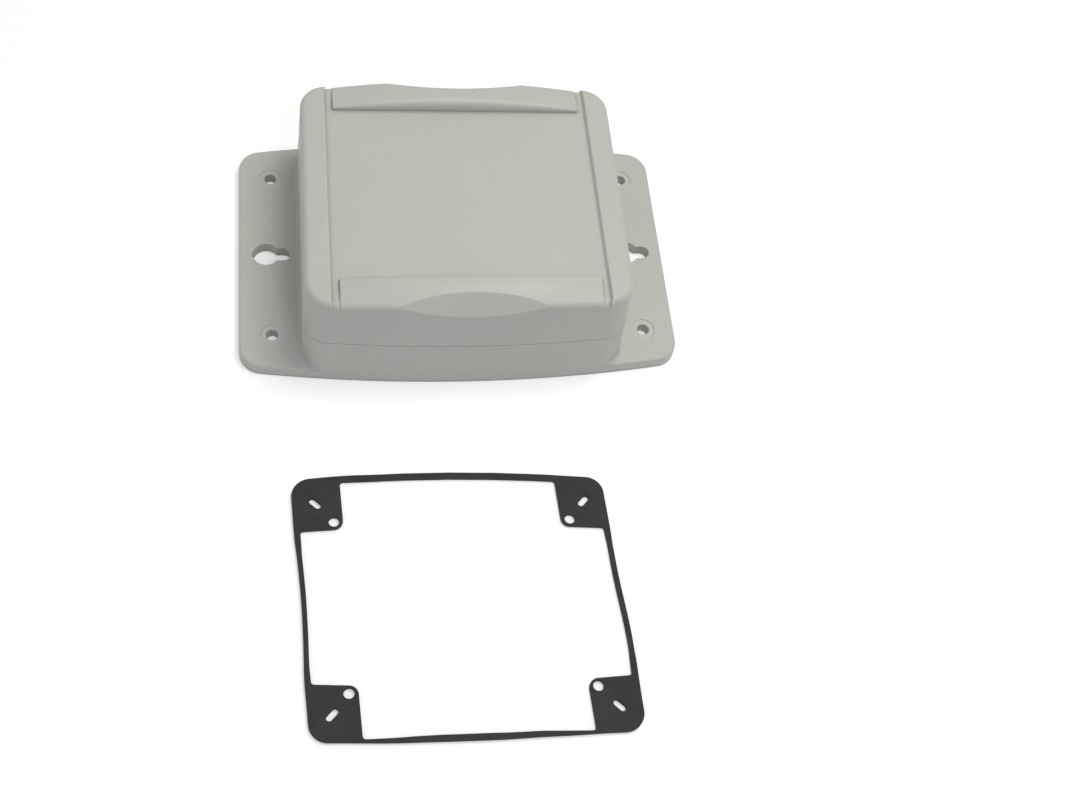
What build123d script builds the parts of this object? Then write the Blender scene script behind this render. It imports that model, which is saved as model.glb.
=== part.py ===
"""Flanged two-part plastic enclosure with its flat rubber gasket laid in front of it.

The box stands on its mounting face. The origin is on that face, in the middle of the
four flange holes. X runs along the flanged width, Y to the rear, Z up. All sizes are mm.
"""
import os
from math import cos, radians, sin, sqrt, tan

from build123d import *

# Outer form of the box, measured on the mounting face
body_width = 109.2
body_depth = 99.2
body_corner_radius = 9.0
end_bow_radius = 520.0
side_draft = 2.2
end_draft = 4.5
seam_height = 20.5
rail_top_height = 41.3
seam_chamfer = 0.25

# Flanges
flange_reach = 20.5
flange_thickness = 4.5
flange_corner_radius = 8.0
flange_edge_radius = 0.8
flange_foot_radius = 1.2

# Fixing holes in the flanges, placed from the foot of the box and from its ends
fixing_from_box = 9.4
fixing_from_end = 17.1
fixing_hole_diameter = 4.2
spotface_diameter = 8.0
spotface_depth = 0.25
keyhole_slot_length = 13.2
keyhole_slot_width = 5.1
keyhole_head_diameter = 8.8
keyhole_head_shift = 1.8

# Label recess and grip bars on the cover
recess_depth = 1.3
rail_width = 8.6
rail_wall_run = 0.8
top_edge_radius = 2.0
bar_end_gap = 2.3
bar_depth = 12.05
bar_ridge_rise = 2.9
bar_ridge_setback = 2.6
bar_end_setback = 0.4
bar_foot_rise = 0.3
bar_outer_drop = 1.7
bar_end_drop = 3.2
bar_outer_radius = 1.8
scoop_half_width = 25.4
scoop_inset = 4.7
scoop_crest_rise = 2.1
scoop_depth_below_rail = 4.7

# Walls and inner parts of the mouldings
base_floor = 3.0
inner_draft = 0.5
cover_roof = 2.6
roof_edge_radius = 1.5
rib_thickness = 2.0
board_post_inset_x = 10.0
board_post_inset_y = 6.0
board_post_diameter = 6.0
board_post_height = 5.0
board_pilot_diameter = 2.5

# Gasket, and the channel in the base that holds it
gasket_thickness = 1.5
gasket_strip = 2.0
gasket_squeeze = 0.2
gasket_fit = 0.15
channel_lip = 2.85
channel_depth = 2.0
tongue_width = 1.3
pad_length_x = 15.7
pad_length_y = 17.5
pad_taper = 3.0
pad_inner_radius = 3.0
strip_corner_radius = 1.0
pad_slot_length = 4.5
pad_slot_width = 2.0
pad_slot_inset_x = 7.3
pad_slot_inset_y = 10.6

# How the loose gasket lies: its place, and each of its two directions turned by hand
gasket_centre_x = -6.2
gasket_gap = 34.7
gasket_turn_x = -1.5
gasket_turn_y = 2.8
front_strip_push = 2.2

# Cover screws, driven up from the mounting face, placed from the gasket's outer edges
screw_inset_x = 12.8
screw_inset_y = 17.0
screw_diameter = 2.9
screw_length = 16.0
screw_head_diameter = 5.6
screw_head_height = 2.0
screw_head_chamfer = 0.7
screw_tip_length = 1.2
screw_tip_taper = 0.7
screw_drive_width = 0.9
screw_drive_length = 3.2
screw_drive_depth = 1.2
screw_seat_depth = 8.0
screw_clearance = 0.5
head_clearance = 0.8
thread_clearance = 0.1
boss_diameter = 9.6
thread_spare_depth = 2.0

# Values that follow from the ones above
flange_width = body_width + 2 * flange_reach
fixing_x = body_width / 2 + fixing_from_box
fixing_y = body_depth / 2 - fixing_from_end
base_wall = channel_lip + gasket_fit + gasket_strip
recess_floor_height = rail_top_height - recess_depth
recess_half_width = body_width / 2 - rail_top_height * tan(radians(side_draft)) - rail_width
bar_half_length = recess_half_width - bar_end_gap
bar_foot_offset = body_depth / 2 - rail_top_height * tan(radians(end_draft)) - bar_depth
ridge_height = rail_top_height + bar_ridge_rise
channel_floor_height = seam_height - channel_depth
squeezed_gasket = gasket_thickness * (1 - gasket_squeeze)
press_height = channel_floor_height + squeezed_gasket
seam_half_width = body_width / 2 - seam_height * tan(radians(side_draft))
seam_half_depth = body_depth / 2 - seam_height * tan(radians(end_draft))
gasket_half_width = seam_half_width - channel_lip - gasket_fit
gasket_half_depth = seam_half_depth - channel_lip - gasket_fit
gasket_centre_y = -(body_depth / 2 + gasket_gap + gasket_half_depth)
pad_slot_x = gasket_half_width - pad_slot_inset_x
pad_slot_y = gasket_half_depth - pad_slot_inset_y
screw_x = gasket_half_width - screw_inset_x
screw_y = gasket_half_depth - screw_inset_y
screw_seat_height = seam_height - screw_seat_depth
board_post_x = screw_x - board_post_inset_x
board_post_y = screw_y - board_post_inset_y
cutter_margin = 5.0


def mirrored(x, y):
    """The four places of a point that repeats in every quarter."""
    return [(sx * x, sy * y) for sy in (1, -1) for sx in (-1, 1)]


def bow_drop(x):
    """How far a bowed end falls back at a distance x from its middle."""
    return end_bow_radius - sqrt(end_bow_radius**2 - x**2)


def end_reach(z):
    """How far the middle of a bowed end stands from the origin at a height."""
    return body_depth / 2 - z * tan(radians(end_draft))


def bowed_prism(half_width, half_depth, corner, low, high, side_angle, end_angle):
    """A prism with straight sides and bowed ends, drafted from its size at height zero.

    A positive draft narrows it upwards and a negative one widens it upwards.
    """
    def side(z):
        return half_width - z * tan(radians(side_angle))

    def radius(z):
        return end_bow_radius - z * tan(radians(end_angle))

    block = Plane.XZ * make_face(
        Polyline((-side(low), low), (side(low), low), (side(high), high), (-side(high), high), close=True)
    )
    prism = extrude(block, amount=half_depth + cutter_margin, both=True)
    bow = Plane.XZ * make_face(
        Polyline((0, low), (radius(low), low), (radius(high), high), (0, high), close=True)
    )
    for sign in (1, -1):
        prism &= Pos(0, sign * (end_bow_radius - half_depth)) * revolve(bow, Axis.Z)
    corners = prism.edges().filter_by(lambda e: abs(e.tangent_at(0.5).Z) > 0.9)
    return fillet(corners, corner)


def body_prism(inset, low, high):
    """The box's outer form between two heights, drawn in all round by an inset."""
    return bowed_prism(
        body_width / 2 - inset,
        body_depth / 2 - inset,
        body_corner_radius - inset,
        low,
        high,
        side_draft,
        end_draft,
    )


def flange_prism(low, high):
    """The wide form that carries the flanges, with the same bowed ends as the box."""
    return bowed_prism(
        flange_width / 2,
        body_depth / 2,
        flange_corner_radius,
        low,
        high,
        side_draft,
        end_draft,
    )


def rim_prism(inset, low, high, draft=-inner_draft):
    """A prism that follows the rim of the box at the seam, drawn in by an inset."""
    spread = seam_height * tan(radians(draft))
    return bowed_prism(
        seam_half_width - inset + spread,
        seam_half_depth - inset + spread,
        body_corner_radius - inset,
        low,
        high,
        draft,
        draft,
    )


def column(x, y, diameter, low, high):
    """A round column or bore between two heights."""
    return Pos(x, y, low) * Cylinder(
        diameter / 2, high - low, align=(Align.CENTER, Align.CENTER, Align.MIN)
    )


def slab(x_low, x_high, y_low, y_high, low, high):
    """A straight block given by its two limits along each axis."""
    return Pos((x_low + x_high) / 2, (y_low + y_high) / 2, (low + high) / 2) * Box(
        x_high - x_low, y_high - y_low, high - low
    )


def flange_plate():
    """The bowed plate under the box, with its upper edge rounded."""
    plate = flange_prism(0, flange_thickness)
    top = plate.faces().sort_by(Axis.Z)[-1]
    return fillet(top.edges(), flange_edge_radius)


def flange_foot():
    """Hollow rounding where the box rises from the flanges, cut off flush with the ends."""
    box = body_prism(0, 0, seam_height)
    ledge = slab(-flange_width, flange_width, -body_depth, body_depth, 0, flange_thickness)
    crease = (box & ledge).faces().sort_by(Axis.Z)[-1].edges()
    raised = ledge + box
    places = [edge.center() for edge in crease]
    foot = raised.edges().filter_by(lambda e: min((e.center() - place).length for place in places) < 0.01)
    return fillet(foot, flange_foot_radius) & flange_prism(flange_thickness, seam_height)


def keyhole(x):
    """Cutter of one keyhole: a slot through the flange with a wider hole for a screw head."""
    height = flange_thickness + 2 * cutter_margin
    slot = Pos(x, 0) * SlotOverall(keyhole_slot_length, keyhole_slot_width)
    head = Pos(x - keyhole_head_shift, 0) * Circle(keyhole_head_diameter / 2)
    return Pos(0, 0, -cutter_margin) * extrude(slot + head, amount=height)


def fixing_holes():
    """Cutters of the four flange holes with their spotfaces, and of the two keyholes."""
    cutters = [keyhole(side * fixing_x) for side in (-1, 1)]
    face = flange_thickness - spotface_depth
    for x, y in mirrored(fixing_x, fixing_y):
        cutters.append(column(x, y, fixing_hole_diameter, -cutter_margin, face + cutter_margin))
        cutters.append(column(x, y, spotface_diameter, face, face + cutter_margin))
    return cutters


def corner_webs(low, high):
    """Two ribs from each screw boss out to the side wall and the end wall beside it."""
    webs = []
    half = rib_thickness / 2
    for x, y in mirrored(screw_x, screw_y):
        side = (1 if x > 0 else -1) * body_width / 2
        end = (1 if y > 0 else -1) * body_depth / 2
        webs.append(slab(min(x, side), max(x, side), y - half, y + half, low, high))
        webs.append(slab(x - half, x + half, min(y, end), max(y, end), low, high))
    return webs


def gasket_pin(x, y):
    """Oval pin on its post, which the slot of a gasket pad drops over."""
    angle = 45 if x * y > 0 else -45
    length = pad_slot_length - 2 * gasket_fit
    width = pad_slot_width - 2 * gasket_fit
    oval = Pos(x, y, channel_floor_height) * Rot(0, 0, angle) * SlotOverall(length, width)
    post = column(x, y, pad_slot_length + rib_thickness, base_floor / 2, channel_floor_height)
    return post + extrude(oval, amount=squeezed_gasket - gasket_fit)


def base():
    """Lower moulding: box bottom and both flanges in one piece."""
    box = body_prism(0, 0, seam_height)
    box = chamfer(box.faces().sort_by(Axis.Z)[-1].edges(), seam_chamfer)
    shell = flange_plate() + flange_foot() + box
    shell -= rim_prism(base_wall, base_floor, seam_height + cutter_margin)
    shell -= rim_prism(channel_lip, channel_floor_height, seam_height + cutter_margin)
    inside = [gasket_pin(x, y) for x, y in mirrored(pad_slot_x, pad_slot_y)]
    inside += [
        column(x, y, boss_diameter, base_floor / 2, channel_floor_height)
        for x, y in mirrored(screw_x, screw_y)
    ]
    inside += corner_webs(base_floor / 2, channel_floor_height)
    inside += [
        column(x, y, board_post_diameter, base_floor / 2, base_floor + board_post_height)
        for x, y in mirrored(board_post_x, board_post_y)
    ]
    shell += (inside[0] + inside[1:]) & rim_prism(channel_lip, 0, seam_height)
    bores = fixing_holes()
    for x, y in mirrored(screw_x, screw_y):
        bores.append(column(x, y, screw_head_diameter + head_clearance, -cutter_margin, screw_seat_height))
        bores.append(column(x, y, screw_diameter + screw_clearance, 0, seam_height))
    for x, y in mirrored(board_post_x, board_post_y):
        bores.append(column(x, y, board_pilot_diameter, base_floor, seam_height))
    return shell - bores


def bar_section(x, sign):
    """Profile of a grip bar across its length, at a distance x from its middle.

    Its inner face stands upright at the foot, rolls over into a ridge, and the top falls
    away from there towards the outer edge. Ridge and roll are largest in the middle, and
    the outer edge is lowest at the two ends.
    """
    share = 1 - (x / bar_half_length) ** 2
    ridge = rail_top_height + bar_ridge_rise * share
    ridge_offset = bar_foot_offset + bar_end_setback + (bar_ridge_setback - bar_end_setback) * share
    edge = rail_top_height - bar_end_drop + (bar_end_drop - bar_outer_drop) * share
    root = recess_floor_height - 2 * top_edge_radius
    foot = recess_floor_height + bar_foot_rise
    outer = body_depth / 2
    section = [
        Line((bar_foot_offset, root), (bar_foot_offset, foot)),
        Bezier((bar_foot_offset, foot), (bar_foot_offset, ridge), (ridge_offset, ridge)),
        Bezier((ridge_offset, ridge), ((ridge_offset + outer) / 2, ridge), (outer, edge)),
        Line((outer, edge), (outer, root)),
        Line((outer, root), (bar_foot_offset, root)),
    ]
    plane = Plane(origin=(x, 0, 0), x_dir=(0, sign, 0), z_dir=(sign, 0, 0))
    return plane * make_face(section)


def grip_bar(sign):
    """Crowned bar at one end of the label recess, flush with the bowed end of the box."""
    bar = loft([bar_section(x, sign) for x in (-bar_half_length, 0, bar_half_length)])
    bar &= body_prism(0, seam_height, ridge_height + cutter_margin)
    long_edges = bar.edges().filter_by(lambda e: e.length > bar_half_length)
    outer_edge = long_edges.sort_by(lambda e: abs(e.center().Y) + e.center().Z)[-1]
    return fillet(outer_edge, bar_outer_radius)


def finger_scoop(sign):
    """Cutter of the scoop in a bar's outer edge: a large cylinder laid at a slope."""
    crest_height = rail_top_height + scoop_crest_rise
    lip_height = rail_top_height - scoop_depth_below_rail
    crest = Vector(0, end_reach(rail_top_height) - scoop_inset, crest_height)
    lip = Vector(0, end_reach(lip_height), lip_height)
    along = (lip - crest).normalized()
    outward = Vector(0, -along.Z, along.Y)
    tip = Vector(0, end_reach(rail_top_height) - bow_drop(scoop_half_width), rail_top_height)
    depth = (tip - crest).dot(outward)
    radius = (scoop_half_width**2 + depth**2) / (2 * depth)
    axis = Plane(origin=(crest + lip) * 0.5 + outward * radius, x_dir=(1, 0, 0), z_dir=along)
    cutter = axis * Cylinder(radius, 2 * scoop_half_width)
    return cutter if sign > 0 else mirror(cutter, Plane.XZ)


def cover_block(top):
    """The cover's outer form from the seam up to a height, with its upper edge rounded."""
    block = body_prism(0, seam_height, top)
    return fillet(block.faces().sort_by(Axis.Z)[-1].edges(), top_edge_radius)


def label_recess():
    """Cutter of the label recess: sloping walls along the rails, and a floor rounded at its ends."""
    rise = recess_depth + cutter_margin
    run = rail_wall_run * rise / recess_depth
    low = recess_floor_height - 2 * top_edge_radius
    right = [
        (recess_half_width, low),
        (recess_half_width, recess_floor_height),
        (recess_half_width + run, recess_floor_height + rise),
    ]
    left = [(-x, z) for x, z in reversed(right)]
    trough = extrude(Plane.XZ * make_face(Polyline(*right, *left, close=True)), amount=body_depth, both=True)
    return trough - cover_block(recess_floor_height)


def cover():
    """Upper moulding: rails, label recess, grip bars and the walls down to the seam."""
    shell = cover_block(rail_top_height)
    shell = chamfer(shell.faces().sort_by(Axis.Z)[0].edges(), seam_chamfer)
    shell -= label_recess()
    shell += [grip_bar(sign) for sign in (1, -1)]
    shell -= [finger_scoop(sign) for sign in (1, -1)]
    roof = recess_floor_height - cover_roof
    cavity = rim_prism(base_wall, seam_height, roof, inner_draft)
    cavity = fillet(cavity.faces().sort_by(Axis.Z)[-1].edges(), roof_edge_radius)
    bosses = [column(x, y, boss_diameter, press_height, roof + cover_roof / 2)
              for x, y in mirrored(screw_x, screw_y)]
    webs = corner_webs(seam_height, roof + cover_roof / 2)
    inside = (webs[0] + webs[1:]) & rim_prism(base_wall / 2, seam_height, ridge_height, inner_draft)
    shell = shell - cavity + inside + bosses
    tongue_inset = channel_lip + gasket_fit + (gasket_strip - tongue_width) / 2
    shell += rim_prism(tongue_inset, press_height, seam_height) - rim_prism(
        tongue_inset + tongue_width, press_height, seam_height
    )
    bore = screw_diameter + thread_clearance
    bore_top = screw_seat_height + screw_length + thread_spare_depth
    return shell - [column(x, y, bore, 0, bore_top) for x, y in mirrored(screw_x, screw_y)]


def laid(x, y):
    """Where a point of the gasket comes to lie on the table."""
    turn_x = radians(gasket_turn_x)
    turn_y = radians(gasket_turn_y)
    return (
        gasket_centre_x + x * cos(turn_x) - y * sin(turn_y),
        gasket_centre_y + x * sin(turn_x) + y * cos(turn_y),
    )


def laid_bow(half_length, reach):
    """Bowed edge of the gasket from right to left, as it comes to lie.

    The front strip, whose reach is negative, lies pushed in at its middle.
    """
    end = reach - bow_drop(half_length) if reach > 0 else reach + bow_drop(half_length)
    middle = reach if reach > 0 else reach + front_strip_push
    return ThreePointArc(laid(half_length, end), laid(0, middle), laid(-half_length, end))


def rounded_at(face, points, radius):
    """A flat face with the corners that lie at the given points rounded."""
    places = [Vector(*point) for point in points]
    corners = face.vertices().filter_by(lambda v: min((Vector(v) - place).length for place in places) < 0.01)
    return fillet(corners, radius)


def gasket_outline():
    """The gasket's bowed outer edge, with its corners rounded."""
    rear = laid_bow(gasket_half_width, gasket_half_depth)
    front = laid_bow(gasket_half_width, -gasket_half_depth)
    outline = make_face([rear, Line(rear @ 1, front @ 1), front, Line(front @ 0, rear @ 0)])
    return fillet(outline.vertices(), body_corner_radius - channel_lip - gasket_fit)


def gasket_window():
    """The opening inside the strips and the four corner pads."""
    strip_x = gasket_half_width - gasket_strip
    pad_x = gasket_half_width - pad_length_x
    strip_y = gasket_half_depth - gasket_strip
    pad_y = gasket_half_depth - bow_drop(gasket_half_width) - pad_length_y
    taper = (strip_x - pad_x) * tan(radians(pad_taper))
    rear = laid_bow(pad_x, strip_y)
    front = laid_bow(pad_x, -strip_y)
    left = [(-pad_x, pad_y + taper), (-strip_x, pad_y), (-strip_x, -pad_y), (-pad_x, -pad_y - taper)]
    right = [(-x, -y) for x, y in left]
    window = make_face([
        rear,
        Polyline(rear @ 1, *[laid(x, y) for x, y in left], front @ 1),
        front,
        Polyline(front @ 0, *[laid(x, y) for x, y in right], rear @ 0),
    ])
    notches = [laid(x, y) for x, y in mirrored(strip_x, pad_y)] + [rear @ 0, rear @ 1, front @ 0, front @ 1]
    window = rounded_at(window, notches, strip_corner_radius)
    return rounded_at(window, [laid(x, y) for x, y in mirrored(pad_x, pad_y + taper)], pad_inner_radius)


def gasket():
    """Flat rubber ring with a pad in each corner, cut from sheet and lying a little skewed."""
    sheet = gasket_outline() - gasket_window()
    turn = (gasket_turn_x + gasket_turn_y) / 2
    for x, y in mirrored(screw_x, screw_y):
        sheet -= Pos(*laid(x, y)) * Circle((screw_diameter + screw_clearance) / 2)
    for x, y in mirrored(pad_slot_x, pad_slot_y):
        angle = turn + (45 if x * y > 0 else -45)
        sheet -= Pos(*laid(x, y)) * Rot(0, 0, angle) * SlotOverall(pad_slot_length, pad_slot_width)
    return extrude(sheet, amount=gasket_thickness)


def cover_screw(x, y):
    """One pan-head screw with a cross recess, standing head down in its bore."""
    head = column(x, y, screw_head_diameter, screw_seat_height - screw_head_height, screw_seat_height)
    head = chamfer(head.edges().sort_by(Axis.Z)[0], screw_head_chamfer)
    tip_height = screw_seat_height + screw_length
    shank = column(x, y, screw_diameter, screw_seat_height, tip_height)
    shank = chamfer(shank.edges().sort_by(Axis.Z)[-1], screw_tip_length, screw_tip_taper)
    bar = Box(screw_drive_length, screw_drive_width, 2 * screw_drive_depth)
    cross = Pos(x, y, screw_seat_height - screw_head_height) * (bar + Rot(0, 0, 90) * bar)
    return head + shank - cross


def cover_screws():
    """The four equal screws that hold the cover to the base."""
    return Compound([cover_screw(x, y).solid() for x, y in mirrored(screw_x, screw_y)])


parts = {
    "base": base(),
    "cover": cover(),
    "gasket": gasket(),
    "cover_screws": cover_screws(),
}

os.makedirs("parts", exist_ok=True)
for name, shape in parts.items():
    export_step(shape, f"parts/{name}.step")
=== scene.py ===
"""Looks of a flanged two-part plastic enclosure and of the flat rubber gasket in front of it.

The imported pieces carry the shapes. This script gives them their finishes, lays a soft-edged
gasket and threaded screws in the place of the plain ones, and sets the stage and the camera.
All lengths are in metres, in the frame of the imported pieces.
"""
from math import cos, pi, radians, sin
from typing import NamedTuple

import bpy
from mathutils import Matrix, Vector


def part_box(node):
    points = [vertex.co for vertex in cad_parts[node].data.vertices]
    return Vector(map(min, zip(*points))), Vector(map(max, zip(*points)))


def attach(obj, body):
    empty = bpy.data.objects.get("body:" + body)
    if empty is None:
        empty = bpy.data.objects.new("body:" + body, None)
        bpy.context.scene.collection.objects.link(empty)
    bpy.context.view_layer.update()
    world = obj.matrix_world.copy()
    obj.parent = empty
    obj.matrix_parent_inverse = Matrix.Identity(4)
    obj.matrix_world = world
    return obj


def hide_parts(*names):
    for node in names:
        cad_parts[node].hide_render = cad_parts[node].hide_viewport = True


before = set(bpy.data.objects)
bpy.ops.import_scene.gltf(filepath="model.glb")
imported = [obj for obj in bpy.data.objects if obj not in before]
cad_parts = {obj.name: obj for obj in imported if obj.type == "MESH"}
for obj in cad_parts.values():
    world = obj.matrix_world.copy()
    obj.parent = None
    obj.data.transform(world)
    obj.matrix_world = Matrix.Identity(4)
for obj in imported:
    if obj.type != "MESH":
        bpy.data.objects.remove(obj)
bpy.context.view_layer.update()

bl_info = {
    "name": "Flanged Enclosure",
    "version": (1, 0, 0),
    "blender": (4, 5, 0),
    "location": "3D View > Sidebar > Enclosure",
    "description": "Finishes a flanged plastic enclosure, its gasket and its screws",
    "category": "Object",
}

MILLIMETRE = 0.001
WHITE = (1.0, 1.0, 1.0, 1.0)


# Settings that a user would change

class HousingSettings(bpy.types.PropertyGroup):
    color: bpy.props.FloatVectorProperty(
        name="Plastic Colour", description="Colour of the moulded base and cover",
        subtype="COLOR", default=(0.485, 0.488, 0.45), min=0.0, max=1.0,
    )
    roughness: bpy.props.FloatProperty(
        name="Roughness", description="Roughness of the matte mould texture",
        subtype="FACTOR", default=0.45, min=0.0, max=1.0,
    )
    grain_size: bpy.props.FloatProperty(
        name="Grain Size", description="Width of one grain of the mould texture",
        subtype="DISTANCE", unit="LENGTH", default=0.35 * MILLIMETRE, precision=5,
    )
    grain_depth: bpy.props.FloatProperty(
        name="Grain Depth", description="Depth of the mould texture",
        subtype="DISTANCE", unit="LENGTH", default=0.018 * MILLIMETRE, precision=6,
    )
    edge_radius: bpy.props.FloatProperty(
        name="Edge Radius", description="Softening of the mouldings' sharp edges",
        subtype="DISTANCE", unit="LENGTH", default=0.5 * MILLIMETRE, precision=5,
    )
    # Reach of the painted shade that darkens the plastic's colour in inner corners
    painted_shade_reach: bpy.props.FloatProperty(
        name="Crease Width", description="How far the shade of an inner corner reaches out of it",
        subtype="DISTANCE", unit="LENGTH", default=1.4 * MILLIMETRE, precision=5,
    )
    # Strength of the painted shade in inner corners
    painted_shade_strength: bpy.props.FloatProperty(
        name="Crease Shade", description="How dark the inner corners are",
        subtype="FACTOR", default=0.36, min=0.0, max=1.0,
    )
    fixing_x: bpy.props.FloatProperty(
        name="Fixing Hole X", description="From the middle of the box to a fixing hole, sideways",
        subtype="DISTANCE", unit="LENGTH", default=64.0 * MILLIMETRE, precision=5,
    )
    fixing_y: bpy.props.FloatProperty(
        name="Fixing Hole Y", description="From the middle of the box to a fixing hole, to the rear",
        subtype="DISTANCE", unit="LENGTH", default=32.5 * MILLIMETRE, precision=5,
    )
    spotface_diameter: bpy.props.FloatProperty(
        name="Spotface Diameter", description="Width of the smooth ring round a fixing hole",
        subtype="DISTANCE", unit="LENGTH", default=8.0 * MILLIMETRE, precision=5,
    )


class GasketSettings(bpy.types.PropertyGroup):
    color: bpy.props.FloatVectorProperty(
        name="Rubber Colour", description="Colour of the gasket's sheet rubber",
        subtype="COLOR", default=(0.018, 0.019, 0.020), min=0.0, max=1.0,
    )
    edge_color: bpy.props.FloatVectorProperty(
        name="Cut Edge Colour", description="Colour of the die-cut edges",
        subtype="COLOR", default=(0.024, 0.020, 0.034), min=0.0, max=1.0,
    )
    roughness: bpy.props.FloatProperty(
        name="Roughness", description="Roughness of the rubber's skin",
        subtype="FACTOR", default=0.72, min=0.0, max=1.0,
    )
    edge_radius: bpy.props.FloatProperty(
        name="Edge Radius", description="Rounding of the die-cut edges",
        subtype="DISTANCE", unit="LENGTH", default=0.12 * MILLIMETRE, precision=5,
    )
    middle: bpy.props.FloatVectorProperty(
        name="Middle", description="Where the middle of the gasket lies",
        subtype="XYZ", unit="LENGTH", size=2, precision=5,
        default=(-6.2 * MILLIMETRE, -129.29 * MILLIMETRE),
    )
    skew: bpy.props.FloatProperty(
        name="Skew", description="Turn of the side strips as the gasket lies",
        subtype="ANGLE", default=radians(2.8),
    )
    side_place: bpy.props.FloatProperty(
        name="Side Strip Place", description="From the middle of the gasket to the middle of a side strip",
        subtype="DISTANCE", unit="LENGTH", default=49.8 * MILLIMETRE, precision=5,
    )
    strip_width: bpy.props.FloatProperty(
        name="Strip Width", description="Width of the strips between the corner pads",
        subtype="DISTANCE", unit="LENGTH", default=2.0 * MILLIMETRE, precision=5,
    )
    strip_reach: bpy.props.FloatProperty(
        name="Strip Reach", description="Half the length of a side strip",
        subtype="DISTANCE", unit="LENGTH", default=25.0 * MILLIMETRE, precision=5,
    )
    strip_draw: bpy.props.FloatProperty(
        name="Strip Draw", description="How much narrower the stretched side strips are, 0 for not at all",
        subtype="FACTOR", default=0.18, min=0.0, max=0.5,
    )
    bulge: bpy.props.FloatProperty(
        name="Strip Bulge", description="How much the loose strips wave sideways, 0 for straight",
        subtype="FACTOR", default=1.0, min=0.0, max=1.0,
    )


class ScrewSettings(bpy.types.PropertyGroup):
    color: bpy.props.FloatVectorProperty(
        name="Steel Colour", description="Colour of the plated screws",
        subtype="COLOR", default=(0.60, 0.60, 0.61), min=0.0, max=1.0,
    )
    head_diameter: bpy.props.FloatProperty(
        name="Head Diameter", description="Width of the pan head",
        subtype="DISTANCE", unit="LENGTH", default=5.6 * MILLIMETRE, precision=5,
    )
    head_height: bpy.props.FloatProperty(
        name="Head Height", description="Height of the pan head",
        subtype="DISTANCE", unit="LENGTH", default=2.0 * MILLIMETRE, precision=5,
    )
    thread_diameter: bpy.props.FloatProperty(
        name="Thread Diameter", description="Width over the thread's crests",
        subtype="DISTANCE", unit="LENGTH", default=2.9 * MILLIMETRE, precision=5,
    )
    thread_pitch: bpy.props.FloatProperty(
        name="Thread Pitch", description="Distance from one turn of the thread to the next",
        subtype="DISTANCE", unit="LENGTH", default=1.1 * MILLIMETRE, precision=5,
    )
    thread_depth: bpy.props.FloatProperty(
        name="Thread Depth", description="Height of the thread's ridge",
        subtype="DISTANCE", unit="LENGTH", default=0.35 * MILLIMETRE, precision=5,
    )
    tip_length: bpy.props.FloatProperty(
        name="Tip Length", description="Length of the tapered tip",
        subtype="DISTANCE", unit="LENGTH", default=1.2 * MILLIMETRE, precision=5,
    )
    recess_length: bpy.props.FloatProperty(
        name="Recess Length", description="Width across the cross recess",
        subtype="DISTANCE", unit="LENGTH", default=3.2 * MILLIMETRE, precision=5,
    )
    recess_width: bpy.props.FloatProperty(
        name="Recess Width", description="Width of one arm of the cross recess",
        subtype="DISTANCE", unit="LENGTH", default=0.9 * MILLIMETRE, precision=5,
    )
    recess_depth: bpy.props.FloatProperty(
        name="Recess Depth", description="Depth of the cross recess",
        subtype="DISTANCE", unit="LENGTH", default=1.2 * MILLIMETRE, precision=5,
    )


class StageSettings(bpy.types.PropertyGroup):
    camera_place: bpy.props.FloatVectorProperty(
        name="Camera Place", description="Where the camera stands",
        subtype="XYZ", unit="LENGTH", default=(-0.05542, -0.28042, 0.41329), precision=5,
    )
    camera_heading: bpy.props.FloatProperty(
        name="Heading", description="Turn of the camera to the left, or below 0 to the right",
        subtype="ANGLE", default=radians(-19.358),
    )
    camera_dip: bpy.props.FloatProperty(
        name="Dip", description="How far the camera looks down from level",
        subtype="ANGLE", default=radians(60.229),
    )
    camera_roll: bpy.props.FloatProperty(
        name="Roll", description="Turn of the camera about its own line of sight",
        subtype="ANGLE", default=radians(15.648),
    )
    camera_lens: bpy.props.FloatProperty(
        name="Lens (mm)", description="Focal length in millimetres, on a 36 mm wide sensor",
        default=47.217,
    )
    floor_width: bpy.props.FloatProperty(
        name="Floor Width", description="Width and depth of the pale floor",
        subtype="DISTANCE", unit="LENGTH", default=6.0,
    )
    floor_glow: bpy.props.FloatProperty(
        name="Floor Glow", description="Glow that brings the floor to white where it is looked at",
        default=0.34,
    )
    key_place: bpy.props.FloatVectorProperty(
        name="Key Light Place", description="Where the warm soft box hangs, above and to the right",
        subtype="XYZ", unit="LENGTH", default=(0.16, 0.05, 0.62),
    )
    key_size: bpy.props.FloatProperty(
        name="Key Light Size", description="Width of the warm soft box",
        subtype="DISTANCE", unit="LENGTH", default=0.24,
    )
    key_power: bpy.props.FloatProperty(
        name="Key Light", description="Power of the warm soft box, in watts", default=1.62,
    )
    key_color: bpy.props.FloatVectorProperty(
        name="Key Light Colour", description="Colour of the warm soft box",
        subtype="COLOR", default=(1.0, 0.98, 0.87), min=0.0, max=1.0,
    )
    front_place: bpy.props.FloatVectorProperty(
        name="Front Light Place", description="Where the cool soft box hangs, above and in front",
        subtype="XYZ", unit="LENGTH", default=(0.08, -0.40, 0.60),
    )
    front_size: bpy.props.FloatProperty(
        name="Front Light Size", description="Width of the cool soft box",
        subtype="DISTANCE", unit="LENGTH", default=0.12,
    )
    front_power: bpy.props.FloatProperty(
        name="Front Light", description="Power of the cool soft box, in watts", default=0.55,
    )
    front_color: bpy.props.FloatVectorProperty(
        name="Front Light Colour", description="Colour of the cool soft box",
        subtype="COLOR", default=(0.87, 0.88, 1.0), min=0.0, max=1.0,
    )
    fill_power: bpy.props.FloatProperty(
        name="Fill Light", description="Strength of the light from all round", default=0.51,
    )
    fill_color: bpy.props.FloatVectorProperty(
        name="Fill Light Colour", description="Colour of the light from all round",
        subtype="COLOR", default=(0.925, 0.945, 1.0), min=0.0, max=1.0,
    )


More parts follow.
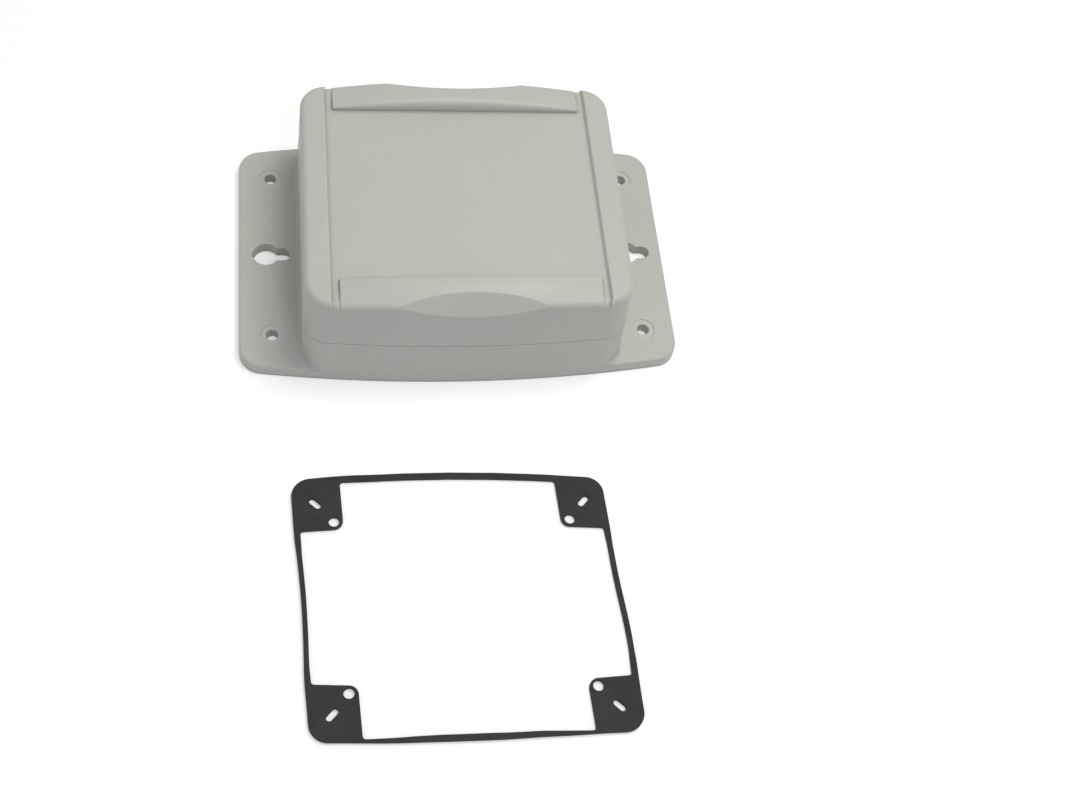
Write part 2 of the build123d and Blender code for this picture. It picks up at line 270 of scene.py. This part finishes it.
class EnclosureSettings(bpy.types.PropertyGroup):
    housing: bpy.props.PointerProperty(type=HousingSettings, name="Housing", description="Base and cover")
    gasket: bpy.props.PointerProperty(type=GasketSettings, name="Gasket", description="Loose gasket")
    screws: bpy.props.PointerProperty(type=ScrewSettings, name="Screws", description="Cover screws")
    stage: bpy.props.PointerProperty(type=StageSettings, name="Stage", description="Floor, light, camera")


# Nodes

class Wire:
    """One value inside a node tree. A sum written with wires adds the nodes that work it out."""

    def __init__(self, nodes, socket):
        self.nodes = nodes
        self.socket = socket

    def __getitem__(self, output):
        return Wire(self.nodes, self.socket.node.outputs[output])

    def __add__(self, other):
        return self.nodes.math("ADD", self, other)

    __radd__ = __add__

    def __sub__(self, other):
        return self.nodes.math("SUBTRACT", self, other)

    def __rsub__(self, other):
        return self.nodes.math("SUBTRACT", other, self)

    def __mul__(self, other):
        return self.nodes.math("MULTIPLY", self, other)

    __rmul__ = __mul__


class Nodes:
    """A node tree whose nodes are added one by one and wired as they come."""

    def __init__(self, tree):
        self.tree = tree
        self.tree.nodes.clear()

    def add(self, kind, settings=None, inputs=None):
        """A node with its settings made and its sockets fed, as a wire from its first output."""
        node = self.tree.nodes.new(kind)
        for name, value in (settings or {}).items():
            setattr(node, name, value)
        for name, value in (inputs or {}).items():
            if isinstance(value, Wire):
                self.tree.links.new(value.socket, node.inputs[name])
            else:
                node.inputs[name].default_value = value
        return Wire(self, node.outputs[0]) if node.outputs else node

    def math(self, operation, *values):
        return self.add("ShaderNodeMath", {"operation": operation}, dict(enumerate(values)))

    def vector(self, operation, *values):
        return self.add("ShaderNodeVectorMath", {"operation": operation}, dict(enumerate(values)))

    def looked_at(self):
        """1 where the camera, a reflection or a clear piece looks, and 0 for the rays that bring light."""
        path = self.add("ShaderNodeLightPath")
        seen = self.math("MAXIMUM", path["Is Camera Ray"], path["Is Glossy Ray"])
        return self.math("MAXIMUM", seen, path["Is Transmission Ray"])


class Finish(Nodes):
    """A material made of nodes, with the patterns that its surface needs."""

    def __init__(self, name):
        self.material = bpy.data.materials.new(name)
        self.material.use_nodes = True
        super().__init__(self.material.node_tree)

    def place(self):
        """Each point's place on the object."""
        return self.add("ShaderNodeTexCoord")["Object"]

    def noise(self, size, detail=2.0, stretch=(1.0, 1.0, 1.0)):
        """Soft noise from 0 to 1 whose patches are about as wide as the size."""
        at = self.vector("MULTIPLY", self.place(), stretch)
        return self.add("ShaderNodeTexNoise", None, {
            "Vector": at, "Scale": 1 / size, "Detail": detail, "Roughness": 0.55,
        })["Fac"]

    def rise(self, value, start, end):
        """0 at the start, 1 at the end and smooth between them. The end may be the lower of the two."""
        return self.add(
            "ShaderNodeMapRange",
            {"interpolation_type": "SMOOTHSTEP"},
            {"Value": value, "From Min": start, "From Max": end},
        )

    def mix(self, share, first, second):
        """A colour between two others."""
        colors = {0: share, 6: first, 7: second}
        return self.add("ShaderNodeMix", {"data_type": "RGBA"}, colors)[2]

    def toned(self, color, share, base, brightness):
        """A colour of which a share gives way to a base colour made lighter or darker."""
        return self.mix(share, color, opaque(base, brightness))

    def from_axes(self, x, y):
        """How far each point is from the nearest of four upright axes, one in each quarter."""
        away = self.vector("SUBTRACT", self.vector("ABSOLUTE", self.place()), (x, y, 0.0))
        return self.vector("LENGTH", self.vector("MULTIPLY", away, (1.0, 1.0, 0.0)))["Value"]

    def bumped(self, height, depth, **more):
        """The surface's normal over bumps, where a height of 1 stands for the depth."""
        inputs = {"Strength": 1.0, "Distance": depth, "Height": height}
        return self.add("ShaderNodeBump", None, inputs | more)

    def with_surface(self, kind, inputs):
        """The finished material, with this shader on its surface."""
        self.add("ShaderNodeOutputMaterial", None, {"Surface": self.add(kind, None, inputs)})
        return self.material


def opaque(color, factor=1.0):
    """A colour setting with its alpha added, made lighter or darker by a factor."""
    return (*[channel * factor for channel in color], 1.0)


# Materials

def housing_plastic(settings):
    """Matte moulded plastic: fine spark grain and faint cloudiness. Convex edges carry a painted highlight
    and are less rough, inner corners carry painted shade, lighter specks are painted glints, and the
    spotface rings carry a painted sheen.
    """
    cloud_size = 22 * MILLIMETRE
    tint_size = 55 * MILLIMETRE
    speck_size = 0.6 * MILLIMETRE
    ring_softness = 0.4 * MILLIMETRE
    tint = (1.015, 1.01, 0.975)
    cloud_brightness = 0.965
    # Brightness of the lighter specks, painted glints of the mould texture's sparkle
    speck_glint_brightness = 1.09
    # Brightness of the painted highlight on convex edges
    painted_highlight_brightness = 1.5
    # Darkness of the painted shade in inner corners
    painted_shade_brightness = 0.35
    # Brightness of the painted sheen on the smooth spotface rings
    spotface_sheen_brightness = 1.1
    edge_bend = (0.01, 0.14)
    # Openness range over which the painted shade in inner corners fades in
    painted_shade_openness = (0.98, 0.72)
    # Openness range over which the painted highlight on edges fades in
    painted_highlight_openness = (0.93, 1.0)

    finish = Finish("housing_plastic")
    base = settings.color
    soft_normal = finish.add("ShaderNodeBevel", {"samples": 8}, {"Radius": settings.edge_radius})
    flat_normal = finish.add("ShaderNodeNewGeometry")["Normal"]
    bend = 1.0 - finish.vector("DOT_PRODUCT", soft_normal, flat_normal)["Value"]
    # Openness of each point to nearby surfaces; it steers the painted shade in inner corners and the
    # painted highlight on edges
    openness = finish.add(
        "ShaderNodeAmbientOcclusion", {"samples": 8}, {"Distance": settings.painted_shade_reach}
    )["AO"]
    ring_radius = settings.spotface_diameter / 2
    from_hole = finish.from_axes(settings.fixing_x, settings.fixing_y)
    ring = finish.rise(from_hole, ring_radius + ring_softness, ring_radius)
    # Painted shade: the colour darkens in inner corners and creases, except on the spotface rings
    painted_crease_shade = finish.rise(openness, *painted_shade_openness) * (1.0 - ring) * settings.painted_shade_strength
    # Convex edges: a painted highlight in the colour, and a lower roughness
    polish_and_painted_highlight = finish.rise(bend, *edge_bend) * finish.rise(openness, *painted_highlight_openness)

    clouds = finish.noise(cloud_size, 3.0)
    specks = finish.noise(speck_size, 1.0)
    tinted = [channel * part for channel, part in zip(base, tint)]
    color = finish.mix(finish.noise(tint_size, 1.0), opaque(base), opaque(tinted))
    color = finish.toned(color, finish.rise(clouds, 0.3, 0.7) * 0.5, base, cloud_brightness)
    # Lighter specks: painted glints of the mould texture's sparkle
    color = finish.toned(color, finish.rise(specks, 0.4, 0.7) * 0.4, base, speck_glint_brightness)
    # Painted highlight on convex edges
    color = finish.toned(color, polish_and_painted_highlight, base, painted_highlight_brightness)
    # Painted shade in inner corners
    color = finish.toned(color, painted_crease_shade, base, painted_shade_brightness)
    # Painted sheen on the spotface rings
    color = finish.toned(color, ring * 0.5, base, spotface_sheen_brightness)

    grain = finish.noise(settings.grain_size, 2.0) + finish.noise(settings.grain_size / 2.5, 1.0) * 0.5
    return finish.with_surface("ShaderNodeBsdfPrincipled", {
        "Base Color": color,
        "Roughness": settings.roughness + clouds * 0.06 - polish_and_painted_highlight * 0.1 - ring * 0.06,
        "IOR": 1.49,
        "Normal": finish.bumped(grain, settings.grain_depth, Normal=soft_normal),
    })


def gasket_rubber(settings):
    """Charcoal sheet rubber with a dry skin, faint bloom and the grain of its calender."""
    bloom_size = 7 * MILLIMETRE
    dust_size = 0.5 * MILLIMETRE
    pore_size = 0.25 * MILLIMETRE
    calender_size = 1.4 * MILLIMETRE
    calender_stretch = (1.0, 0.25, 1.0)
    skin_depth = 0.01 * MILLIMETRE
    bloom_brightness = 1.22
    dust_brightness = 1.9
    cut_tilt = (0.9, 0.5)

    finish = Finish("gasket_rubber")
    bloom = finish.rise(finish.noise(bloom_size, 4.0), 0.35, 0.75)
    dust = finish.rise(finish.noise(dust_size, 2.0), 0.66, 0.8)
    normal = finish.vector("ABSOLUTE", finish.add("ShaderNodeNewGeometry")["Normal"])
    upward = finish.vector("DOT_PRODUCT", normal, (0.0, 0.0, 1.0))["Value"]
    cut = finish.rise(upward, *cut_tilt)
    color = finish.mix(cut, opaque(settings.color), opaque(settings.edge_color))
    color = finish.toned(color, bloom * 0.6, settings.color, bloom_brightness)
    color = finish.toned(color, dust * 0.35, settings.color, dust_brightness)
    skin = finish.noise(pore_size, 2.0) + finish.noise(calender_size, 2.0, calender_stretch)
    return finish.with_surface("ShaderNodeBsdfPrincipled", {
        "Base Color": color,
        "Roughness": settings.roughness + bloom * 0.1,
        "IOR": 1.45,
        "Normal": finish.bumped(skin, skin_depth),
    })


def screw_steel(settings, spacing_x, spacing_y):
    """Bright plated steel with fine turned rings round each of the four screws."""
    ring_pitch = 0.12 * MILLIMETRE
    ring_depth = 0.004 * MILLIMETRE
    stain_size = 1.2 * MILLIMETRE
    stain_brightness = 0.8

    finish = Finish("screw_steel")
    rings = finish.math("SINE", finish.from_axes(spacing_x, spacing_y) * (2 * pi / ring_pitch))
    stain = finish.rise(finish.noise(stain_size, 3.0), 0.4, 0.8)
    return finish.with_surface("ShaderNodeBsdfPrincipled", {
        "Base Color": finish.toned(opaque(settings.color), stain * 0.5, settings.color, stain_brightness),
        "Metallic": 1.0,
        "Roughness": 0.3 + stain * 0.15,
        "Normal": finish.bumped(rings, ring_depth, Strength=0.6),
    })


def pale_floor(settings):
    """White paper floor that the camera sees as plain white, with the object's shadow on it."""
    fibre_size = 3 * MILLIMETRE
    paper_shades = (0.80, 0.82)
    finish = Finish("pale_floor")
    color = finish.mix(finish.noise(fibre_size, 3.0), *[opaque([shade] * 3) for shade in paper_shades])
    paper = finish.add("ShaderNodeBsdfDiffuse", None, {"Color": color})
    glow = finish.add("ShaderNodeEmission", None, {"Color": WHITE, "Strength": settings.floor_glow})
    lit = finish.add("ShaderNodeAddShader", None, {0: paper, 1: glow})
    return finish.with_surface("ShaderNodeMixShader", {0: finish.looked_at(), 1: paper, 2: lit})


def studio_world(settings):
    """Cool light from all round, which the camera sees as plain white."""
    world = bpy.data.worlds.new("studio")
    world.use_nodes = True
    nodes = Nodes(world.node_tree)
    fill = nodes.add("ShaderNodeBackground", None, {
        "Color": opaque(settings.fill_color), "Strength": settings.fill_power,
    })
    white = nodes.add("ShaderNodeBackground", None, {"Color": WHITE})
    shown = nodes.add("ShaderNodeMixShader", None, {0: nodes.looked_at(), 1: fill, 2: white})
    nodes.add("ShaderNodeOutputWorld", None, {"Surface": shown})
    return world


# Modelling helpers

def deselect_all():
    if bpy.context.mode != "OBJECT":
        bpy.ops.object.mode_set(mode="OBJECT")
    bpy.ops.object.select_all(action="DESELECT")


def make_active(piece):
    deselect_all()
    piece.select_set(True)
    bpy.context.view_layer.objects.active = piece


def edit(piece, action):
    """Goes into edit mode on a piece with all of it selected or none, as the action says."""
    make_active(piece)
    bpy.ops.object.mode_set(mode="EDIT")
    bpy.ops.mesh.select_all(action=action)


def name_active(name):
    piece = bpy.context.active_object
    piece.name = name
    piece.data.name = name
    return piece


def settle_active():
    """Puts the active piece's place, turn and size into its mesh."""
    bpy.ops.object.transform_apply(location=True, rotation=True, scale=True)


def apply_modifier(piece, kind, **settings):
    """Adds a modifier, makes its settings and applies it."""
    make_active(piece)
    modifier = piece.modifiers.new(kind.lower(), kind)
    for name, value in settings.items():
        setattr(modifier, name, value)
    bpy.ops.object.modifier_apply(modifier=modifier.name)


def select_edges(piece, test):
    """Leaves edit mode on with only the edges whose two ends pass the test selected."""
    edit(piece, "DESELECT")
    bpy.ops.mesh.select_mode(type="EDGE")
    bpy.ops.object.mode_set(mode="OBJECT")
    points = piece.data.vertices
    for edge in piece.data.edges:
        edge.select = test(*[points[i].co for i in edge.vertices])
    bpy.ops.object.mode_set(mode="EDIT")


def select_faces(piece, test):
    """Leaves edit mode on with only the faces whose normals pass the test selected."""
    edit(piece, "DESELECT")
    bpy.ops.mesh.select_mode(type="FACE")
    bpy.ops.object.mode_set(mode="OBJECT")
    for face in piece.data.polygons:
        face.select = test(face.normal)
    bpy.ops.object.mode_set(mode="EDIT")


def faces_up(normal):
    return normal.z > 0.9


def extrude_up(height):
    bpy.ops.mesh.extrude_region_move(TRANSFORM_OT_translate={"value": (0, 0, height)})


def narrow(share, height):
    """Draws what is selected in towards the origin's axis, at a height."""
    bpy.ops.transform.resize(value=(share, share, 1.0), center_override=(0, 0, height))


def round_edges(radius, segments):
    bpy.ops.mesh.bevel(offset=radius, segments=segments, affect="EDGES", clamp_overlap=True)


def smooth(piece):
    """Shades a piece smooth except over its sharp edges."""
    make_active(piece)
    bpy.ops.object.shade_smooth_by_angle(angle=radians(35))


def dress(piece, material):
    """Gives a piece one material over all of its faces."""
    if not piece.material_slots:
        piece.data.materials.append(material)
    for slot in piece.material_slots:
        slot.material = material


def merged_copy(node, name):
    """A piece with a mesh of its own, copied from a packed one, with its loose triangles joined."""
    piece = bpy.data.objects.new(name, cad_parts[node].data.copy())
    bpy.context.scene.collection.objects.link(piece)
    make_active(piece)
    bpy.ops.mesh.customdata_custom_splitnormals_clear()
    edit(piece, "SELECT")
    bpy.ops.mesh.remove_doubles(threshold=0.002 * MILLIMETRE)
    bpy.ops.mesh.dissolve_limited(angle_limit=radians(1.0))
    deselect_all()
    return piece


# Gasket

class Bulge(NamedTuple):
    """A stretch of a loose strip that waves sideways. Each of its values has an X and a Y."""

    middle: tuple
    reach: tuple
    push: tuple


STRIP_BULGES = (
    # Front strip, from left to right
    Bulge(middle=(-0.026, -0.171), reach=(0.026, 0.009), push=(0.0, -0.0006)),
    Bulge(middle=(0.0, -0.171), reach=(0.026, 0.009), push=(0.0, -0.0007)),
    Bulge(middle=(0.023, -0.172), reach=(0.012, 0.009), push=(0.0, -0.0002)),
    # Left strip, its middle and its front end
    Bulge(middle=(-0.057, -0.126), reach=(0.009, 0.026), push=(0.00055, 0.0)),
    Bulge(middle=(-0.056, -0.150), reach=(0.009, 0.012), push=(-0.00017, 0.0)),
    # Right strip, its front half
    Bulge(middle=(0.044, -0.143), reach=(0.009, 0.024), push=(0.00075, 0.0)),
    # Rear strip, its left end
    Bulge(middle=(-0.044, -0.085), reach=(0.014, 0.009), push=(0.0, 0.00025)),
)


def hill(distance):
    """Smooth hill, 1 at its middle and 0 from a distance of 1 on."""
    return (1 + cos(pi * min(1.0, abs(distance)))) / 2


def drawn_in(point, settings):
    """How far a point of a side strip moves to its middle line, to make the strip narrower."""
    steepness = 6
    along = (point.y - settings.middle[1]) / cos(settings.skew)
    share = settings.strip_draw * min(1.0, steepness * hill(along / settings.strip_reach))
    for side in (-1, 1):
        middle = settings.middle[0] + side * settings.side_place - along * sin(settings.skew)
        if abs(point.x - middle) < settings.strip_width:
            return (middle - point.x) * share
    return 0.0


def ease_strips(piece, settings):
    """Lets the loose strips wave a little sideways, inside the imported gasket's box."""
    halvings = 5
    for _ in range(halvings):
        select_edges(piece, lambda a, b: (a - b).length > settings.strip_width)
        bpy.ops.mesh.subdivide(number_cuts=1)
    deselect_all()
    low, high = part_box("gasket")
    for vertex in piece.data.vertices:
        start = vertex.co.copy()
        vertex.co.x += drawn_in(start, settings)
        for bulge in STRIP_BULGES:
            across, along = [(start[i] - bulge.middle[i]) / bulge.reach[i] for i in (0, 1)]
            share = hill(across) * hill(along) * settings.bulge
            vertex.co += Vector((*bulge.push, 0.0)) * share
        for i in (0, 1):
            vertex.co[i] = min(max(vertex.co[i], low[i]), high[i])


def soft_gasket(settings):
    """The gasket with waving strips and rounded die-cut edges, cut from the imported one."""
    piece = merged_copy("gasket", "gasket_rubber_ring")
    ease_strips(piece, settings)
    edit(piece, "DESELECT")
    bpy.ops.mesh.select_mode(type="EDGE")
    bpy.ops.mesh.edges_select_sharp(sharpness=radians(60))
    round_edges(settings.edge_radius, segments=3)
    smooth(piece)
    return piece


# Screws

def screw_blank(settings, low, high):
    """Pan head with its cross recess, core and blunt tip of a screw on the origin's axis, head down."""
    tip_share = 0.3
    rounding = 0.45 * settings.head_height
    radius = settings.head_diameter / 2
    core = settings.thread_diameter / 2 - settings.thread_depth
    seat = low + settings.head_height
    deselect_all()
    bpy.ops.mesh.primitive_cylinder_add(
        vertices=48, radius=radius, depth=settings.head_height, location=(0, 0, (low + seat) / 2)
    )
    blank = name_active("screw_blank")
    settle_active()
    select_faces(blank, faces_up)
    bpy.ops.mesh.inset(thickness=radius - core)
    extrude_up(high - seat - settings.tip_length)
    extrude_up(settings.tip_length)
    narrow(tip_share, high)
    select_edges(blank, lambda a, b: max(a.z, b.z) < low + settings.head_height / 4)
    round_edges(rounding, segments=5)
    for turn in (0, pi / 2):
        arm = recess_arm(settings, low, turn)
        apply_modifier(blank, "BOOLEAN", object=arm, operation="DIFFERENCE", solver="EXACT")
        bpy.data.objects.remove(arm)
    return blank


def recess_arm(settings, low, turn):
    """Tool for one arm of the cross recess, narrower at its inner end."""
    inner_share = 0.6
    deselect_all()
    bpy.ops.mesh.primitive_cube_add(size=1, location=(0, 0, low), rotation=(0, 0, turn))
    arm = name_active("recess_arm")
    arm.scale = (settings.recess_length, settings.recess_width, 2 * settings.recess_depth)
    settle_active()
    select_faces(arm, faces_up)
    narrow(inner_share, low)
    deselect_all()
    return arm


def screw_thread(settings, seat, high):
    """Closed spiral ridge, three-sided in section, whose foot is sunk in the core."""
    steps = 24
    core = settings.thread_diameter / 2 - settings.thread_depth
    sunk = 0.15 * settings.thread_depth
    # The height of a triangle with equal sides is 1.5 times the radius of the circle round it
    radius = (settings.thread_depth + sunk) / 1.5
    start = seat + 1.5 * radius
    turns = int((high - settings.tip_length - start) / settings.thread_pitch)
    deselect_all()
    bpy.ops.mesh.primitive_circle_add(
        vertices=3, radius=radius, fill_type="NOTHING",
        location=(core - sunk + radius / 2, 0, start), rotation=(pi / 2, pi / 2, 0),
    )
    thread = name_active("screw_thread")
    settle_active()
    apply_modifier(
        thread, "SCREW", angle=2 * pi, screw_offset=settings.thread_pitch, iterations=turns,
        steps=steps, render_steps=steps,
    )
    edit(thread, "SELECT")
    bpy.ops.mesh.fill_holes(sides=3)
    bpy.ops.mesh.normals_make_consistent(inside=False)
    deselect_all()
    return thread


def threaded_screw(settings, low, high):
    """One cover screw on the origin's axis, head down, between two heights."""
    blank = screw_blank(settings, low, high)
    thread = screw_thread(settings, low + settings.head_height, high)
    make_active(blank)
    thread.select_set(True)
    bpy.ops.object.join()
    return name_active("screw")


# Operators and panel

class ENCLOSURE_OT_finish_housing(bpy.types.Operator):
    """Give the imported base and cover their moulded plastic"""

    bl_idname = "enclosure.finish_housing"
    bl_label = "Finish Base and Cover"

    def execute(self, context):
        plastic = housing_plastic(context.scene.enclosure.housing)
        for node in ("base", "cover"):
            dress(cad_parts[node], plastic)
        return {"FINISHED"}


class ENCLOSURE_OT_lay_gasket(bpy.types.Operator):
    """Lay the soft-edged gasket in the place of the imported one"""

    bl_idname = "enclosure.lay_gasket"
    bl_label = "Lay Gasket"

    def execute(self, context):
        settings = context.scene.enclosure.gasket
        rubber = gasket_rubber(settings)
        piece = soft_gasket(settings)
        dress(piece, rubber)
        dress(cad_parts["gasket"], rubber)
        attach(piece, "root")
        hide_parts("gasket")
        return {"FINISHED"}


class ENCLOSURE_OT_drive_screws(bpy.types.Operator):
    """Set the four threaded cover screws in the place of the plain ones"""

    bl_idname = "enclosure.drive_screws"
    bl_label = "Drive Cover Screws"

    def execute(self, context):
        settings = context.scene.enclosure.screws
        low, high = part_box("cover_screws")
        x = high.x - settings.head_diameter / 2
        y = high.y - settings.head_diameter / 2
        steel = screw_steel(settings, x, y)
        dress(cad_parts["cover_screws"], steel)
        first = threaded_screw(settings, low.z, high.z)
        smooth(first)
        dress(first, steel)
        for row, sign_y in (("rear", 1), ("front", -1)):
            for side, sign_x in (("left", -1), ("right", 1)):
                piece = bpy.data.objects.new(f"screw_{row}_{side}", first.data.copy())
                piece.data.transform(Matrix.Translation((sign_x * x, sign_y * y, 0)))
                context.scene.collection.objects.link(piece)
                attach(piece, "root")
                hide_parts("cover_screws")
        bpy.data.objects.remove(first)
        return {"FINISHED"}


class ENCLOSURE_OT_set_stage(bpy.types.Operator):
    """Lay the pale floor, light it and place the camera"""

    bl_idname = "enclosure.set_stage"
    bl_label = "Set Stage"

    def execute(self, context):
        settings = context.scene.enclosure.stage
        context.scene.view_settings.view_transform = "Standard"
        self.lay_floor(settings)
        self.hang_soft_box("key_light", settings.key_place, settings.key_size, settings.key_power,
                           settings.key_color)
        self.hang_soft_box("front_light", settings.front_place, settings.front_size, settings.front_power,
                           settings.front_color)
        context.scene.world = studio_world(settings)
        context.scene.camera = self.place_camera(settings)
        return {"FINISHED"}

    def lay_floor(self, settings):
        """The floor lies just below the object, so that no two faces share a plane."""
        drop = 0.02 * MILLIMETRE
        deselect_all()
        bpy.ops.mesh.primitive_plane_add(size=settings.floor_width, location=(0, 0, -drop))
        floor = name_active("floor")
        dress(floor, pale_floor(settings))

    def hang_soft_box(self, name, place, size, power, color):
        """A square lamp aimed at the middle of the box."""
        deselect_all()
        bpy.ops.object.light_add(type="AREA", location=place)
        lamp = name_active(name)
        lamp.data.shape = "SQUARE"
        lamp.data.size = size
        lamp.data.energy = power
        lamp.data.color = color
        lamp.rotation_euler = Vector(place).to_track_quat("Z", "Y").to_euler()

    def place_camera(self, settings):
        deselect_all()
        turn = (
            Matrix.Rotation(settings.camera_heading, 4, "Z")
            @ Matrix.Rotation(pi / 2 - settings.camera_dip, 4, "X")
            @ Matrix.Rotation(settings.camera_roll, 4, "Z")
        )
        bpy.ops.object.camera_add(location=settings.camera_place, rotation=turn.to_euler())
        camera = name_active("camera")
        camera.data.sensor_width = 36.0
        camera.data.lens = settings.camera_lens
        camera.data.clip_start = 0.01
        return camera


class ENCLOSURE_PT_sidebar(bpy.types.Panel):
    """Settings and steps of the enclosure"""

    bl_idname = "ENCLOSURE_PT_sidebar"
    bl_label = "Flanged Enclosure"
    bl_space_type = "VIEW_3D"
    bl_region_type = "UI"
    bl_category = "Enclosure"

    def draw(self, context):
        settings = context.scene.enclosure
        for title, group, operator in (
            ("Housing", settings.housing, ENCLOSURE_OT_finish_housing),
            ("Gasket", settings.gasket, ENCLOSURE_OT_lay_gasket),
            ("Screws", settings.screws, ENCLOSURE_OT_drive_screws),
            ("Stage", settings.stage, ENCLOSURE_OT_set_stage),
        ):
            box = self.layout.box()
            box.label(text=title)
            for name in type(group).__annotations__:
                box.prop(group, name)
            box.operator(operator.bl_idname)


CLASSES = (
    HousingSettings,
    GasketSettings,
    ScrewSettings,
    StageSettings,
    EnclosureSettings,
    ENCLOSURE_OT_finish_housing,
    ENCLOSURE_OT_lay_gasket,
    ENCLOSURE_OT_drive_screws,
    ENCLOSURE_OT_set_stage,
    ENCLOSURE_PT_sidebar,
)


def register():
    for cls in CLASSES:
        bpy.utils.register_class(cls)
    bpy.types.Scene.enclosure = bpy.props.PointerProperty(type=EnclosureSettings)


def unregister():
    del bpy.types.Scene.enclosure
    for cls in reversed(CLASSES):
        bpy.utils.unregister_class(cls)


def main():
    register()
    bpy.ops.enclosure.finish_housing()
    bpy.ops.enclosure.lay_gasket()
    bpy.ops.enclosure.drive_screws()
    bpy.ops.enclosure.set_stage()


if __name__ == "__main__":
    main()
